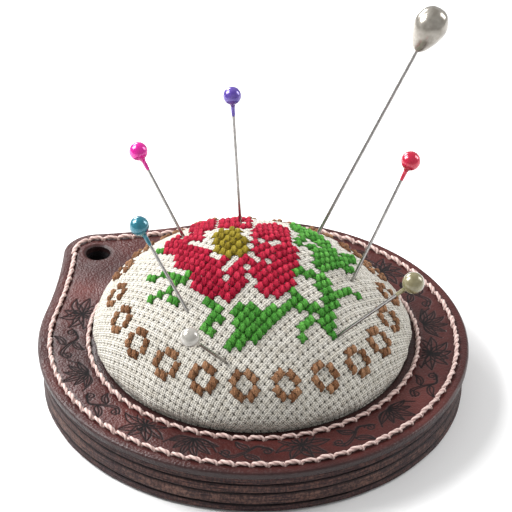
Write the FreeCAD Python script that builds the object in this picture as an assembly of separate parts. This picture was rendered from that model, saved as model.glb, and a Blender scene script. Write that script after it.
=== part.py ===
import FreeCAD, Part
import math
import os

# Pin cushion: a stack of leather discs sewn together, with a hang tab, holding a stuffed dome of
# embroidered fabric, and seven pins standing in the dome.
# Millimetres. Origin: centre of the underside. +Z: up. +Y: towards the hang tab.

Vector = FreeCAD.Vector
UP = Vector(0, 0, 1)
GAP = 0.02  # clearance between pieces that lie against each other without sharing a face

# Leather stack, named from the table upwards
disc_radius = 44.0
side_inset = 0.8  # the rim of the top leather stands out past the layers below it
bottom_thickness = 1.6
lower_spacer_thickness = 2.8
middle_spacer_thickness = 2.1
upper_spacer_thickness = 2.1
top_thickness = 1.6
opening_radius = 31.5
rim_round = 0.6

# Hang tab
tab_hole_distance = 45.3
tab_hole_radius = 2.65
tab_radius = 7.5
tab_neck_radius = 120.0

# Seams
cord_radius = 0.42
cord_bend = 0.5
stitch_pitch = 3.15
slot_width = 1.04
outer_seam_inset = 2.5
inner_seam_radius = 33.65
groove_depth = 0.95

# Cushion
board_thickness = 1.4
board_radius = 31.2
fabric_thickness = 0.45
fabric_base_radius = 31.4
flange_radius = 36.4
dome_height = 24.8  # above the top face of the leather
dome_radius = 32.6  # where the dome bulges over the leather
dome_bulge_height = 2.3
dome_fullness = 1.56
dome_roundness = 1.3
dome_stations = 14
dome_lean = (-2.8, 1.4)  # the summit lies this far off the axis

# Embroidery: one square tile for each cross-stitch. Rows of the chart run from +Y to -Y.
stitch_cell = 1.61
tile_side = 1.36
tile_thickness = 0.3
chart_first_column = -14
chart_first_row = 12.3
chart = [
    ".................RRRR.........",
    ".........G.RRR..RRRRR.........",
    ".........GRRRR.RRRRR..........",
    ".........RRRRR.RRRR.RRRR......",
    "....G....RRRRRRRRR.RRRRR......",
    "....G....RRRRRRRR.RRRRRR......",
    ".....G..RRR.RR.R.RRRRRR.......",
    ".G...G.RRRR.R...RRRRRR........",
    "..G..G.RRRR.....RRRRR........G",
    "...GGG.RRRR..YY.RRRR........GG",
    "..G..GGRRRR.YYYY.RR.RRRR...GGG",
    "..G...RRRR.YYYYY...RRRRR..GGGG",
    ".....RRRRR.YYYY..RRRRRRR.GGGGG",
    ".....RRRRRRYYYY.RRRRRRR..GGGG.",
    ".....RRRR...YY.R.RRRRR..GGGGG.",
    "....GRRR.RRRR.RRR..RR.GG.GGG..",
    "....G.RRRRR.R.RRRRRR.G...GGG..",
    ".GGGG.RRRR.RRR.RRRRR..GG.GG...",
    ".G.G.......RRRRRRRR...GGGGG...",
    ".....GG...RRRRRRRR...GGGGG.GGG",
    "....GGGG..RRRRRRGG..GGGGGGGGG.",
    ".GGGGGGG...RRRR..GG.GGGGGG....",
    "G.GGGGGGGG...G....GG....GG....",
    "....GGGGGGGGGG...GGG..........",
    "............GG...GG...........",
    ".............GG.GGGGGG........",
    "..........GGG.GGGG....G.......",
    ".........G...GGG..............",
    ".............GG...............",
    ".............G................",
]
thread_letters = {"R": "red", "G": "green", "Y": "gold"}
wreath_count = 21
wreath_radius = 31.6
wreath_centre = (0.0, -2.1)
wreath_start = 269.0
ring_motif = [".BB.", "B..B", "B..B", ".BB."]
pin_room = 1.5  # no stitch lies nearer than this to a pin

# Pins
shaft_radius = 0.325
shaft_length = 38.0
point_length = 3.0
hat_shaft_length = 60.0
hat_shaft_radius = 0.36
bore_clearance = 0.06
head_depth = 1.4  # the shaft's end sits this far past the centre of its head
neck_length = 3.2
neck_wall = 0.12
point_radius = 0.05
pear_length = 10.0
pear_radius = 3.5
pear_top_share = 0.38  # of the pear's length, above its widest place
pear_foot_share = 1 - pear_top_share
neck_root = 0.86  # of the ball's radius: the neck starts this far below the ball's centre
point_room = 2.5  # a pin's point stops this far above the board, measured upwards
head_room = 0.8  # a pin's head stops this far above the fabric
draw_room = 2.0  # a drawn pin's point ends this far outside the fabric

# Each pin: where it enters the dome (distance from the axis, bearing), how far it leans from
# upright and towards which bearing, how far its head stands off the fabric, and the head's
# radius. Bearings are in degrees, counter-clockwise from +X. The pearl pin can't be pushed in
# further than its stop, where its shaft comes close to the white pin's.
pins = {
    "violet": {"at": (10.4, 58.2), "lean": (10.3, 64.4), "reach": 27.2, "head": 1.85},
    "magenta": {"at": (16.3, 104.4), "lean": (29.2, 107.8), "reach": 20.0, "head": 1.9},
    "teal": {"at": (19.9, 179.1), "lean": (32.0, 105.4), "reach": 18.4, "head": 1.95},
    "white": {"at": (26.1, 209.3), "lean": (42.2, 187.5), "reach": 16.4, "head": 1.85},
    "crimson": {"at": (19.8, 308.3), "lean": (24.7, 335.6), "reach": 27.4, "head": 1.95},
    "pearl": {"at": (23.9, 267.0), "lean": (42.7, 296.6), "reach": 19.9, "head": 2.1, "stop": 3.5},
    "drop": {"at": (22.7, 5.9), "lean": (30.1, 340.2), "reach": 49.5, "head": pear_radius},
}
PEAR_PIN = "drop"

# Heights of the stack's faces
lower_spacer_z = bottom_thickness
middle_spacer_z = lower_spacer_z + lower_spacer_thickness
upper_spacer_z = middle_spacer_z + middle_spacer_thickness
top_z = upper_spacer_z + upper_spacer_thickness
stack_height = top_z + top_thickness
board_top = lower_spacer_z + board_thickness

parts = {}


# Outline of the disc with its tab. Four tangent arcs: the disc, the two hollow sides of the neck
# and the tab. The same centres serve every inset of the outline.
def neck_centre():
    to_disc = disc_radius + tab_neck_radius
    to_tab = tab_radius + tab_neck_radius
    y = (to_disc**2 - to_tab**2 + tab_hole_distance**2) / (2 * tab_hole_distance)
    return math.sqrt(to_disc**2 - y**2), y


def outline_arcs(inset):
    """The outline's arcs as (centre x, centre y, radius, start angle, sweep), in order."""
    x, y = neck_centre()
    disc_end = math.atan2(y, x)
    tab_end = math.atan2(y - tab_hole_distance, x)
    sweep_neck = disc_end - tab_end
    neck = tab_neck_radius + inset
    return [
        (0, 0, disc_radius - inset, math.pi - disc_end, math.pi + 2 * disc_end),
        (x, y, neck, disc_end + math.pi, -sweep_neck),
        (0, tab_hole_distance, tab_radius - inset, tab_end, math.pi - 2 * tab_end),
        (-x, y, neck, -tab_end, -sweep_neck),
    ]


def arc_point(arc, turn):
    x, y, radius, start, sweep = arc
    angle = start + turn * sweep
    return Vector(x + radius * math.cos(angle), y + radius * math.sin(angle), 0)


def outline_face(inset):
    edges = []
    for arc in outline_arcs(inset):
        points = [arc_point(arc, turn) for turn in (0, 0.5, 1)]
        edges.append(Part.Arc(*points).toShape())
    return Part.Face(Part.Wire(edges))


def seam_stations(inset, phase):
    """Evenly spaced (point, heading) along the outline at that inset, heading in degrees."""
    arcs = outline_arcs(inset)
    lengths = [abs(arc[2] * arc[4]) for arc in arcs]
    count = round(sum(lengths) / stitch_pitch)
    stations = []
    for index in range(count):
        along = (index + phase) * sum(lengths) / count
        for arc, length in zip(arcs, lengths):
            if along <= length:
                break
            along -= length
        angle = arc[3] + arc[4] * along / length
        stations.append((arc_point(arc, along / length), math.degrees(angle) + 90))
    return stations


def ring_stations(radius, phase):
    count = round(2 * math.pi * radius / stitch_pitch)
    stations = []
    for index in range(count):
        angle = 2 * math.pi * (index + phase) / count
        point = Vector(radius * math.cos(angle), radius * math.sin(angle), 0)
        stations.append((point, math.degrees(angle) + 90))
    return stations


def placed(shape, station):
    point, heading = station
    copy = shape.copy()
    copy.rotate(Vector(0, 0, 0), UP, heading)
    copy.translate(point)
    return copy


def disc(radius, z, height):
    return Part.makeCylinder(radius, height, Vector(0, 0, z))


def hang_hole(z, height):
    centre = Vector(0, tab_hole_distance, z)
    return Part.makeCylinder(tab_hole_radius, height, centre)


# Seams: each stitch is a closed loop of cord, over the top and back underneath. Neighbouring
# loops share the slots punched between them.
outer_stations = seam_stations(outer_seam_inset, 0.5)
inner_stations = ring_stations(inner_seam_radius, 0.5)
outer_slots = seam_stations(outer_seam_inset, 0.0)
inner_slots = ring_stations(inner_seam_radius, 0.0)


def stitch_loop(bottom, top):
    """One loop of cord in the XZ plane, its outside reaching from bottom to top."""
    low = bottom + cord_radius
    high = top - cord_radius
    half = stitch_pitch / 2 - cord_bend
    bend = cord_bend
    corner = bend * (1 - math.sqrt(0.5))
    ends = [
        ((-half + bend, high), (half - bend, high)),
        ((half, high - bend), (half, low + bend)),
        ((half - bend, low), (-half + bend, low)),
        ((-half, low + bend), (-half, high - bend)),
    ]
    middles = [
        (half - corner, high - corner),
        (half - corner, low + corner),
        (-half + corner, low + corner),
        (-half + corner, high - corner),
    ]
    edges = []
    for index, (start, end) in enumerate(ends):
        start, end = Vector(start[0], 0, start[1]), Vector(end[0], 0, end[1])
        following = ends[(index + 1) % 4][0]
        middle = Vector(middles[index][0], 0, middles[index][1])
        edges.append(Part.LineSegment(start, end).toShape())
        edges.append(Part.Arc(end, middle, Vector(following[0], 0, following[1])).toShape())
    path = Part.Wire(edges)
    section = Part.Wire(Part.makeCircle(cord_radius, Vector(0, 0, high), Vector(1, 0, 0)))
    return path.makePipeShell([section], True, False)


def seam(stations, bottom, top):
    loop = stitch_loop(bottom, top)
    return Part.makeCompound([placed(loop, station) for station in stations])


def slots(stations, z, height):
    """Punched slots, each holding the legs of two neighbouring stitches."""
    length = 2 * (cord_bend + cord_radius) + 0.1
    corner = Vector(-length / 2, -slot_width / 2, z)
    slot = Part.makeBox(length, slot_width, height, corner)
    return Part.makeCompound([placed(slot, station) for station in stations])


def leather_layer(inset, z, height):
    """A layer of the stack with its full outline, before anything is cut from it."""
    layer = outline_face(inset).extrude(Vector(0, 0, height))
    layer.translate(Vector(0, 0, z))
    return layer


def punch_rim(layer, z, height):
    layer = layer.cut(hang_hole(z, height))
    return layer.cut(slots(outer_slots, z, height))


def round_rim(layer, radius):
    """Rounds the layer's outside edges, top and bottom."""
    edges = []
    for edge in layer.Edges:
        box = edge.BoundBox
        if box.ZLength < GAP and box.YMax > tab_hole_distance - tab_radius:
            edges.append(edge)
        elif box.ZLength < GAP and box.DiagonalLength > disc_radius:
            edges.append(edge)
    return layer.makeFillet(radius, edges)


def ring_groove(z, radius):
    half = slot_width / 2
    return disc(radius + half, z, groove_depth).cut(disc(radius - half, z, groove_depth))


def outline_groove(z):
    half = slot_width / 2
    outside = outline_face(outer_seam_inset - half).extrude(Vector(0, 0, groove_depth))
    inside = outline_face(outer_seam_inset + half).extrude(Vector(0, 0, groove_depth))
    groove = outside.cut(inside)
    groove.translate(Vector(0, 0, z))
    return groove


def make_leather():
    top = round_rim(leather_layer(0, top_z, top_thickness), rim_round)
    top = top.cut(disc(opening_radius, top_z, top_thickness))
    top = punch_rim(top, top_z, top_thickness)
    parts["top_leather"] = top.cut(slots(inner_slots, top_z, top_thickness))

    spacer = leather_layer(side_inset, upper_spacer_z, upper_spacer_thickness)
    spacer = spacer.cut(disc(opening_radius, upper_spacer_z, upper_spacer_thickness))
    spacer = spacer.cut(disc(flange_radius + GAP, top_z - fabric_thickness, 1))
    spacer = punch_rim(spacer, upper_spacer_z, upper_spacer_thickness)
    spacer = spacer.cut(slots(inner_slots, upper_spacer_z, upper_spacer_thickness))
    parts["upper_spacer"] = spacer.cut(ring_groove(upper_spacer_z, inner_seam_radius))

    spacer = leather_layer(side_inset, middle_spacer_z, middle_spacer_thickness)
    spacer = spacer.cut(disc(opening_radius, middle_spacer_z, middle_spacer_thickness))
    parts["middle_spacer"] = punch_rim(spacer, middle_spacer_z, middle_spacer_thickness)

    spacer = leather_layer(side_inset, lower_spacer_z, lower_spacer_thickness)
    spacer = spacer.cut(disc(opening_radius, lower_spacer_z, lower_spacer_thickness))
    parts["lower_spacer"] = punch_rim(spacer, lower_spacer_z, lower_spacer_thickness)

    base = leather_layer(side_inset, 0, bottom_thickness)
    base = punch_rim(base, 0, bottom_thickness)
    parts["bottom_leather"] = base.cut(outline_groove(0))


def make_seams():
    lift = 0.05  # the underside stitches stay this far above the face they are sunk in
    proud = stack_height + 2 * cord_radius + GAP
    parts["outer_stitching"] = seam(outer_stations, lift, proud)
    parts["inner_stitching"] = seam(inner_stations, upper_spacer_z + lift, proud)


# Dome: heights z are above the top face of the leather
def dome_profile_radius(z):
    rise = (z - dome_bulge_height) / (dome_height - dome_bulge_height)
    return dome_radius * (1 - rise**dome_fullness) ** (1 / dome_roundness)


def dome_outline(steps):
    """Points (radius, z) from the bulge to the summit, closer together near the summit."""
    points = []
    for step in range(steps + 1):
        turn = math.cos(math.pi / 2 * step / steps)
        z = dome_height - (dome_height - dome_bulge_height) * turn**2
        points.append((dome_profile_radius(z), z))
    points[-1] = (0.0, dome_height)
    return points


def bulge_outline():
    """Points (radius, z) from the leather's opening up to just below the widest place."""
    points = []
    for share in (0, 0.25, 0.5, 0.75):
        swell = (dome_radius - fabric_base_radius) * math.sin(math.pi / 2 * share)
        points.append((fabric_base_radius + swell, dome_bulge_height * share))
    return points


def dome_curve(inset):
    """Spline from the leather's opening over the bulge to the summit, moved in by inset."""
    outline = bulge_outline() + dome_outline(dome_stations)
    count = len(outline)
    points = []
    for index, (radius, z) in enumerate(outline):
        before = outline[max(index - 1, 0)]
        after = outline[min(index + 1, count - 1)]
        run, rise = after[0] - before[0], after[1] - before[1]
        if index == 0:
            run, rise = 0, 1
        if index == count - 1:
            run, rise = -1, 0
        length = math.hypot(run, rise)
        move_r, move_z = -rise / length * inset, run / length * inset
        points.append(Vector(radius + move_r, 0, stack_height + z + move_z))
    curve = Part.BSplineCurve()
    curve.interpolate(points)
    return curve.toShape()


def revolve(edges):
    return Part.Face(Part.Wire(edges)).revolve(Vector(0, 0, 0), UP, 360)


def line(start, end):
    return Part.LineSegment(Vector(start[0], 0, start[1]), Vector(end[0], 0, end[1])).toShape()


def solid_of(shape):
    return shape if shape.ShapeType == "Solid" else shape.Solids[0]


def lean_over(solid):
    """Slants a solid so that the dome's summit moves by dome_lean and the opening stays put."""
    matrix = FreeCAD.Matrix()
    matrix.A13 = dome_lean[0] / dome_height
    matrix.A23 = dome_lean[1] / dome_height
    matrix.A14 = -matrix.A13 * stack_height
    matrix.A24 = -matrix.A23 * stack_height
    return solid_of(solid.transformGeometry(matrix))


def upright_dome(inset):
    """The dome above the top face of the leather, before it leans, moved in by inset."""
    foot = (fabric_base_radius - inset, stack_height)
    summit = (0, stack_height + dome_height - inset)
    edges = [dome_curve(inset), line(summit, (0, stack_height)), line((0, stack_height), foot)]
    return solid_of(revolve(edges))


arc_table = [(0.0, 0.0, dome_height)]
for radius, height in reversed(dome_outline(400)[:-1]):
    run = math.hypot(radius - arc_table[-1][1], height - arc_table[-1][2])
    arc_table.append((arc_table[-1][0] + run, radius, height))


def dome_point(across, up):
    """The fabric's flat coordinates, measured from its middle, to a point on the dome."""
    distance = math.hypot(across, up)
    index = 1
    while arc_table[index][0] < distance:
        index += 1
    before, after = arc_table[index - 1], arc_table[index]
    part = (distance - before[0]) / (after[0] - before[0])
    radius = before[1] + part * (after[1] - before[1])
    height = before[2] + part * (after[2] - before[2])
    scale = radius / distance if distance > 0 else 0
    share = height / dome_height
    x = across * scale + dome_lean[0] * share
    y = up * scale + dome_lean[1] * share
    return Vector(x, y, stack_height + height)


def height_over(x, y):
    """Height of the dome's surface over the point x, y, by halving."""
    low, high = dome_bulge_height, dome_height
    for _ in range(40):
        middle = (low + high) / 2
        share = middle / dome_height
        away = math.hypot(x - dome_lean[0] * share, y - dome_lean[1] * share)
        if away < dome_profile_radius(middle):
            low = middle
        else:
            high = middle
    return stack_height + low


# Pins
def polar(radius, bearing):
    angle = math.radians(bearing)
    return radius * math.cos(angle), radius * math.sin(angle)


def pin_axis(pin):
    """Where the pin meets the fabric, and the unit vector from there towards its head."""
    x, y = polar(*pin["at"])
    lean, bearing = pin["lean"]
    side = math.sin(math.radians(lean))
    dx, dy = polar(side, bearing)
    return Vector(x, y, height_over(x, y)), Vector(dx, dy, math.cos(math.radians(lean)))


def pin_sizes(name):
    if name == PEAR_PIN:
        return hat_shaft_radius, hat_shaft_length
    return shaft_radius, shaft_length


def pin_travel(name):
    """How far the pin can be pushed in (until its head or its point stops) and drawn out."""
    entry, axis = pin_axis(pins[name])
    length = pin_sizes(name)[1]
    inside = length - head_depth - pins[name]["reach"]
    tip_z = entry.z - inside * axis.z
    to_board = (tip_z - board_top - point_room) / axis.z
    to_head = pins[name]["reach"] - head_reach(name) - head_room
    push = min(to_board, to_head, pins[name].get("stop", to_head))
    return push, inside + draw_room


def head_reach(name):
    """From the head's centre to the lower end of its neck."""
    if name == PEAR_PIN:
        return pear_length * pear_foot_share
    return pins[name]["head"] + neck_length


def along_pin(shape, name):
    """Places a shape made about the Z axis, with the head's centre at the origin."""
    entry, axis = pin_axis(pins[name])
    turn = FreeCAD.Rotation(UP, axis)
    centre = entry + axis * pins[name]["reach"]
    placement = FreeCAD.Placement(centre, turn)
    copy = shape.copy()
    copy.Placement = placement
    return copy


def pin_shaft(name):
    radius, length = pin_sizes(name)
    tip = head_depth - length
    body = Part.makeCylinder(radius, length - point_length, Vector(0, 0, tip + point_length))
    point = Part.makeCone(point_radius, radius, point_length, Vector(0, 0, tip))
    return body.fuse(point).removeSplitter()


def ball_head(radius):
    """A ball with a tapered neck of its own material running down the shaft."""
    height = neck_length + radius * (1 - neck_root)
    low_radius, high_radius = shaft_radius + neck_wall, shaft_radius + 2 * neck_wall
    neck = Part.makeCone(low_radius, high_radius, height, Vector(0, 0, -radius - neck_length))
    return Part.makeSphere(radius).fuse(neck)


def pear_head():
    """A pear-shaped drop, its narrow end towards the shaft."""
    top = pear_length * pear_top_share
    foot = -pear_length * pear_foot_share
    outline = [
        (0, top), (pear_radius * 0.72, top * 0.72), (pear_radius, 0),
        (pear_radius * 0.72, foot * 0.45), (pear_radius * 0.36, foot * 0.82), (pear_radius * 0.2, foot),
    ]
    curve = Part.BSplineCurve()
    points = [Vector(r, 0, z) for r, z in outline]
    curve.interpolate(Points=points, InitialTangent=Vector(1, 0, 0), FinalTangent=Vector(-0.2, 0, -1))
    edges = [curve.toShape(), line(outline[-1], (0, foot)), line((0, foot), (0, top))]
    return solid_of(revolve(edges))


def make_pins():
    """Shafts and heads, and the bores they leave in the cushion over their whole travel."""
    bores = []
    for name, pin in pins.items():
        radius, length = pin_sizes(name)
        shaft = pin_shaft(name)
        head = pear_head() if name == PEAR_PIN else ball_head(pin["head"])
        head = head.cut(shaft)
        parts[name + "_pin_shaft"] = along_pin(shaft, name)
        parts[name + "_pin_head"] = along_pin(head, name)
        pushed = pin_travel(name)[0] + bore_clearance
        end = head_depth - length - pushed
        bore = Part.makeCylinder(radius + bore_clearance, length + pushed, Vector(0, 0, end))
        bores.append(along_pin(bore, name))
    return bores


# Cushion
def cut_all(shape, tools):
    return solid_of(shape.cut(Part.makeCompound(tools)))


def make_cushion(bores):
    parts["backing_board"] = disc(board_radius, lower_spacer_z, board_thickness)

    flange_z = top_z - fabric_thickness
    inside_radius = fabric_base_radius - fabric_thickness
    skin = solid_of(upright_dome(0).cut(upright_dome(fabric_thickness)))
    sleeve_height = stack_height - flange_z
    sleeve = disc(fabric_base_radius, flange_z, sleeve_height)
    sleeve = sleeve.fuse(disc(flange_radius, flange_z, fabric_thickness))
    sleeve = sleeve.cut(disc(inside_radius, flange_z, sleeve_height))
    sleeve = sleeve.cut(slots(inner_slots, flange_z, fabric_thickness))
    parts["fabric_cover"] = cut_all(lean_over(skin).fuse(sleeve), bores)

    filling = lean_over(upright_dome(fabric_thickness + GAP))
    neck = disc(inside_radius - GAP, board_top, stack_height - board_top)
    filling = filling.fuse(neck)
    foot = disc(board_radius, board_top, flange_z - GAP - board_top)
    parts["stuffing"] = cut_all(filling.fuse(foot), bores)


# Embroidery
def tile(across, up):
    """A flat tile resting on the dome, its sides along the weave."""
    step = 0.1
    centre = dome_point(across, up)
    along = dome_point(across + step, up) - dome_point(across - step, up)
    over = dome_point(across, up + step) - dome_point(across, up - step)
    rotation = FreeCAD.Rotation(along, over, along.cross(over), "ZXY")
    corner = Vector(-tile_side / 2, -tile_side / 2, GAP)
    box = Part.makeBox(tile_side, tile_side, tile_thickness, corner)
    box.Placement = FreeCAD.Placement(centre, rotation)
    return box


def chart_stitches():
    """Every stitch as (thread colour, across, up) in the fabric's flat coordinates."""
    stitches = []
    for row, letters in enumerate(chart):
        for column, letter in enumerate(letters):
            if letter in thread_letters:
                across = (chart_first_column + column) * stitch_cell
                up = (chart_first_row - row) * stitch_cell
                stitches.append((thread_letters[letter], across, up))
    for index in range(wreath_count):
        x, y = polar(wreath_radius, wreath_start + 360 * index / wreath_count)
        for row, letters in enumerate(ring_motif):
            for column, letter in enumerate(letters):
                if letter == "B":
                    across = x + wreath_centre[0] + (column - 1.5) * stitch_cell
                    up = y + wreath_centre[1] + (1.5 - row) * stitch_cell
                    stitches.append(("brown", across, up))
    return stitches


def make_embroidery():
    entries = [pin_axis(pin)[0] for pin in pins.values()]
    tiles = {}
    for colour, across, up in chart_stitches():
        point = dome_point(across, up)
        if min(point.distanceToPoint(entry) for entry in entries) > pin_room:
            tiles.setdefault(colour, []).append(tile(across, up))
    for colour, boxes in tiles.items():
        parts[colour + "_stitches"] = Part.makeCompound(boxes)


make_leather()
make_seams()
make_cushion(make_pins())
make_embroidery()

os.makedirs("parts", exist_ok=True)
for name, shape in parts.items():
    shape.exportStep("parts/" + name + ".step")
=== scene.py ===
import math
import random

import bpy
import bmesh
import numpy as np
from mathutils import Matrix, Vector, kdtree


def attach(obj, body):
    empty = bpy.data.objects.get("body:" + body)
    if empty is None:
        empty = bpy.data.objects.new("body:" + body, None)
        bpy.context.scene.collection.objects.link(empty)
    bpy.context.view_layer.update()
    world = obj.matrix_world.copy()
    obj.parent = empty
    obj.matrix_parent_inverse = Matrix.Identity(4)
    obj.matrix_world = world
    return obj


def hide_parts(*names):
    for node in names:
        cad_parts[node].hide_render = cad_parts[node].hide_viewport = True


# Pin cushion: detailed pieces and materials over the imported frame.
# Sizes are millimetres, as in part.py, until a mesh is made; the scene itself is in metres.

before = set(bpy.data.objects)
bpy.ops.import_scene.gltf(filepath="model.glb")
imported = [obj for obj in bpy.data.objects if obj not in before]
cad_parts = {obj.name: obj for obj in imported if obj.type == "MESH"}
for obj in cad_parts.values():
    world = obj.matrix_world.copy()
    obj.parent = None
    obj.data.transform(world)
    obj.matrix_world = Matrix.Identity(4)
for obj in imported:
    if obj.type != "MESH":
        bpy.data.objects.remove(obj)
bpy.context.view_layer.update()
MM = 0.001
TAU = 2 * math.pi

# Leather stack
disc_radius = 44.0
side_inset = 0.8
opening_radius = 31.5
tab_hole_distance = 45.3
tab_hole_radius = 2.65
tab_radius = 7.5
tab_neck_radius = 120.0
stack_height = 10.2
top_thickness = 1.6
rim_round = 0.6
lip_round = 0.4
layers = [  # name, underside, thickness, opening
    ("bottom_leather", 0.0, 1.6, False),
    ("lower_spacer", 1.6, 2.8, True),
    ("middle_spacer", 4.4, 2.1, True),
    ("upper_spacer", 6.5, 2.1, True),
]
stitch_pitch = 3.15
outer_seam_inset = 2.5
inner_seam_radius = 33.65
groove_rise = 0.56  # height of the outer seam's cord in its groove in the underside
inner_seam_foot = 7.1  # height at which the inner seam ends, inside the upper spacer
hidden_flatness = 0.6  # the share of its height that the cord keeps on a seam's far side

# Dome
fabric_base_radius = 31.4
dome_height = 24.8
dome_radius = 32.6
dome_bulge_height = 2.3
dome_fullness = 1.56
dome_roundness = 1.3
dome_lean = (-2.8, 1.4)  # how far the summit stands off the axis
board_top = 3.0

# Embroidery, rows from +Y to -Y
stitch_cell = 1.61
chart_first_column = -14
chart_first_row = 12.3
chart_shift = chart_first_row % 1  # the part of a cell by which the chart's rows are off the grid
chart = [
    ".................RRRR.........",
    ".........G.RRR..RRRRR.........",
    ".........GRRRR.RRRRR..........",
    ".........RRRRR.RRRR.RRRR......",
    "....G....RRRRRRRRR.RRRRR......",
    "....G....RRRRRRRR.RRRRRR......",
    ".....G..RRR.RR.R.RRRRRR.......",
    ".G...G.RRRR.R...RRRRRR........",
    "..G..G.RRRR.....RRRRR........G",
    "...GGG.RRRR..YY.RRRR........GG",
    "..G..GGRRRR.YYYY.RR.RRRR...GGG",
    "..G...RRRR.YYYYY...RRRRR..GGGG",
    ".....RRRRR.YYYY..RRRRRRR.GGGGG",
    ".....RRRRRRYYYY.RRRRRRR..GGGG.",
    ".....RRRR...YY.R.RRRRR..GGGGG.",
    "....GRRR.RRRR.RRR..RR.GG.GGG..",
    "....G.RRRRR.R.RRRRRR.G...GGG..",
    ".GGGG.RRRR.RRR.RRRRR..GG.GG...",
    ".G.G.......RRRRRRRR...GGGGG...",
    ".....GG...RRRRRRRR...GGGGG.GGG",
    "....GGGG..RRRRRRGG..GGGGGGGGG.",
    ".GGGGGGG...RRRR..GG.GGGGGG....",
    "G.GGGGGGGG...G....GG....GG....",
    "....GGGGGGGGGG...GGG..........",
    "............GG...GG...........",
    ".............GG.GGGGGG........",
    "..........GGG.GGGG....G.......",
    ".........G...GGG..............",
    ".............GG...............",
    ".............G................",
]
thread_letters = {"R": "red", "G": "green", "Y": "gold"}
wreath_count = 21
wreath_radius = 31.6
wreath_centre = (0.0, -2.1)
wreath_start = 269.0
ring_motif = [".BB.", "B..B", "B..B", ".BB."]
pin_room = 1.5  # stitches nearer than this to a pin are left out

# Pins: where each enters (distance from the axis, bearing), its lean (tilt, bearing), how far its
# head's centre stands off the fabric, and the head's radius
pins = {
    "violet": ((10.4, 58.2), (10.3, 64.4), 27.2, 1.85),
    "magenta": ((16.3, 104.4), (29.2, 107.8), 20.0, 1.9),
    "teal": ((19.9, 179.1), (32.0, 105.4), 18.4, 1.95),
    "white": ((26.1, 209.3), (42.2, 187.5), 16.4, 1.85),
    "crimson": ((19.8, 308.3), (24.7, 335.6), 27.4, 1.95),
    "pearl": ((23.9, 267.0), (42.7, 296.6), 19.9, 2.1),
    "drop": ((22.7, 5.9), (30.1, 340.2), 49.5, 3.5),
}
shaft_radius = 0.325
lacquer_run = 2.4  # how far the lacquer of a head runs down its shaft
pear_length = 10.0
pear_top_share = 0.38  # the share of its length above its widest level


# Meshes
def mesh_object(name, points, faces, attributes=None):
    """A smooth mesh from points in millimetres, with one number per point for each attribute."""
    mesh = bpy.data.meshes.new(name)
    mesh.from_pydata((np.asarray(points, float) * MM).tolist(), [], [list(map(int, f)) for f in faces])
    mesh.shade_smooth()
    for key, values in (attributes or {}).items():
        layer = mesh.attributes.new(key, "FLOAT", "POINT")
        layer.data.foreach_set("value", np.asarray(values, np.float32))
    return placed(name, mesh)


def placed(name, data):
    """A new object in the scene, showing that mesh, light or camera."""
    thing = bpy.data.objects.new(name, data)
    bpy.context.scene.collection.objects.link(thing)
    return thing


def dress(piece, material):
    piece.data.materials.clear()
    piece.data.materials.append(material)


def finish_piece(piece, material, nodes, body="cushion"):
    dress(piece, material)
    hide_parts(*nodes)
    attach(piece, body)


def loop_quads(rows, columns, first=0):
    """Quads between successive closed loops of points, each loop holding that many columns."""
    row, column = np.meshgrid(np.arange(rows - 1), np.arange(columns), indexing="ij")
    following = (column + 1) % columns
    corners = [row * columns + column, row * columns + following]
    corners += [(row + 1) * columns + following, (row + 1) * columns + column]
    return np.stack(corners, axis=-1).reshape(-1, 4) + first


def capped_faces(rows, columns):
    """The faces of a stack of closed loops, with a cap on its first and its last loop."""
    last = (rows - 1) * columns
    caps = [list(range(columns))[::-1], list(range(last, last + columns))]
    return loop_quads(rows, columns).tolist() + caps


def joined(groups):
    """One array of points and one list of faces from several (points, faces)."""
    points, faces = [], []
    first = 0
    for some, sides in groups:
        points.append(some)
        faces += [[corner + first for corner in side] for side in sides]
        first += len(some)
    return np.concatenate(points), faces


def circles(radii, heights, angle):
    """Level circles of points round the axis, one circle after another in a single array."""
    loops = []
    for radius, height in zip(radii, heights):
        level = np.full(len(angle), height)
        loops.append(np.column_stack([radius * np.cos(angle), radius * np.sin(angle), level]))
    return np.concatenate(loops)


def mark(distance, width):
    """1 at the middle of a mark, fading away over about its width."""
    return np.exp(-((distance / width) ** 2))


def tubes(rings):
    """Points and faces of many capped tubes from an array (tube, ring, point, xyz)."""
    count, length, around, _ = rings.shape
    one = loop_quads(length, around)
    faces = []
    for index in range(count):
        first = index * length * around
        faces.extend((one[:, ::-1] + first).tolist())
        faces.append(list(range(first, first + around)))
        last = first + (length - 1) * around
        faces.append(list(range(last, last + around))[::-1])
    return rings.reshape(-1, 3), faces


def smooth_wave(angle, seed, lobes, size):
    """A seeded wavy value around a full turn, its swings about that size."""
    source = random.Random(seed)
    value = np.zeros_like(angle)
    for lobe in lobes:
        phase, share = source.uniform(0, TAU), source.uniform(0.4, 1.0)
        value += size * share * np.sin(lobe * angle + phase)
    return value / math.sqrt(len(lobes))


# Materials
def rgb(red, green, blue):
    """A screen colour, 0 to 255, as the shader's linear colour."""
    levels = []
    for level in (red, green, blue):
        level /= 255
        levels.append(level / 12.92 if level < 0.04045 else ((level + 0.055) / 1.055) ** 2.4)
    return (*levels, 1.0)


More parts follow.
